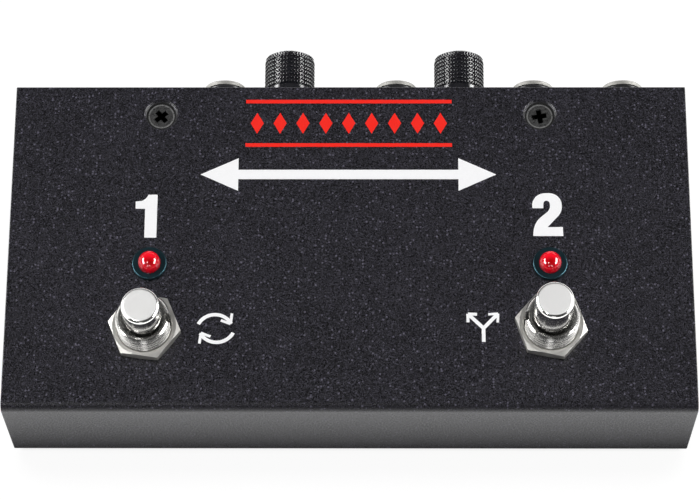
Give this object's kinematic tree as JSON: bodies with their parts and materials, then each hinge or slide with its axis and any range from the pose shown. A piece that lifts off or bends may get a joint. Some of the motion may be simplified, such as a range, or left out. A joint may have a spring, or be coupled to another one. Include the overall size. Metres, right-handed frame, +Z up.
{
  "type": "aby switch pedal",
  "caption": "Low black foot switch box that sends an instrument to either or both amplifiers: press switches and lamps on top, jacks and level knobs behind.",
  "frame": {"origin": "centre of the whole object's box, on the plane that the feet stand on", "axes": "+X to the right along the front face, +Y to the rear panel, +Z up"},
  "size_m": [0.152, 0.0914, 0.049],
  "materials": {
    "powder_coat": "fine textured powder coat",
    "black_screw": "black oxide",
    "bright_nickel": "polished nickel plate",
    "nut_nickel": "nickel plate",
    "satin_nickel": "satin nickel plate",
    "zinc_steel": "zinc plate",
    "jack_plastic": "moulded, glossy",
    "bezel_plastic": "moulded, glossy",
    "housing_plastic": "moulded",
    "red_lens": "clear tinted",
    "jack_metal": "nickel plate",
    "contact_brass": "bare",
    "spring_steel": "drawn wire",
    "knob_black": "black anodised, knurled",
    "shaft_metal": "turned",
    "tinned_wire": "tinned",
    "board_green": "solder mask",
    "relay_case": "moulded",
    "iron_core": "laminated",
    "coil_tape": "tape wrapped",
    "chip_black": "moulded",
    "can_sleeve": "shrink sleeve",
    "resistor_body": "lacquered",
    "rubber": "moulded"
  },
  "bodies": {
    "case": {"base_tray": "powder_coat", "board_screws": "zinc_steel", "board_standoffs": "zinc_steel", "bottom_screws": "black_screw", "capacitors": "can_sleeve", "chips": "chip_black", "component_legs": "tinned_wire", "contact_posts": "contact_brass", "cover_screws": "black_screw", "inlet_body": "jack_plastic", "inlet_pin": "contact_brass", "jack_body_1": "jack_plastic", "jack_body_2": "jack_plastic", "jack_body_3": "jack_plastic", "jack_body_4": "jack_plastic", "jack_contacts": "contact_brass", "jack_nuts": "nut_nickel", "jack_sleeve_1": "jack_metal", "jack_sleeve_2": "jack_metal", "jack_sleeve_3": "jack_metal", "jack_sleeve_4": "jack_metal", "jack_washers": "nut_nickel", "lamp_1": "red_lens", "lamp_2": "red_lens", "lamp_bezel_1": "bezel_plastic", "lamp_bezel_2": "bezel_plastic", "lamp_clip_rings": "housing_plastic", "main_board": "board_green", "pot_housing_1": "housing_plastic", "pot_housing_2": "housing_plastic", "pot_nuts": "nut_nickel", "pot_washers": "nut_nickel", "rear_panel": "powder_coat", "relays": "relay_case", "resistors": "resistor_body", "return_spring_1": "spring_steel", "return_spring_2": "spring_steel", "rubber_feet": "rubber", "switch_frame_1": "bright_nickel", "switch_frame_2": "bright_nickel", "switch_housing_1": "housing_plastic", "switch_housing_2": "housing_plastic", "switch_inner_nuts": "zinc_steel", "switch_lock_washers": "zinc_steel", "switch_nuts": "nut_nickel", "top_cover": "powder_coat", "transformer_base": "housing_plastic", "transformer_coil": "coil_tape", "transformer_core": "iron_core", "weld_nuts": "zinc_steel"},
    "plunger_1": {"switch_plunger_1": "satin_nickel", "contact_bridge_1": "contact_brass"},
    "level_knob_1": {"knob_1": "knob_black", "pot_shaft_1": "shaft_metal", "set_screw_1": "black_screw"},
    "plunger_2": {"switch_plunger_2": "satin_nickel", "contact_bridge_2": "contact_brass"},
    "level_knob_2": {"knob_2": "knob_black", "pot_shaft_2": "shaft_metal", "set_screw_2": "black_screw"}
  },
  "joints": [
    {"name": "footswitch_1_press", "type": "slide", "parent": "case", "child": "plunger_1", "axis": [0, 0, -1], "range_m": [-0.0023, 0.001], "stiffness_N_per_m": 1200, "springref_m": -0.0001, "deforming": ["return_spring_1"]},
    {"name": "footswitch_2_press", "type": "slide", "parent": "case", "child": "plunger_2", "axis": [0, 0, -1], "range_m": [0, 0.0033], "stiffness_N_per_m": 1200, "springref_m": -0.004, "deforming": ["return_spring_2"]},
    {"name": "level_1_turn", "type": "hinge", "parent": "case", "child": "level_knob_1", "pos_m": [-0.0143, 0.03175, 0.01775], "axis": [0, 1, 0], "range_deg": [-150, 150]},
    {"name": "level_2_turn", "type": "hinge", "parent": "case", "child": "level_knob_2", "pos_m": [0.0251, 0.03175, 0.01775], "axis": [0, 1, 0], "range_deg": [-150, 150]}
  ]
}
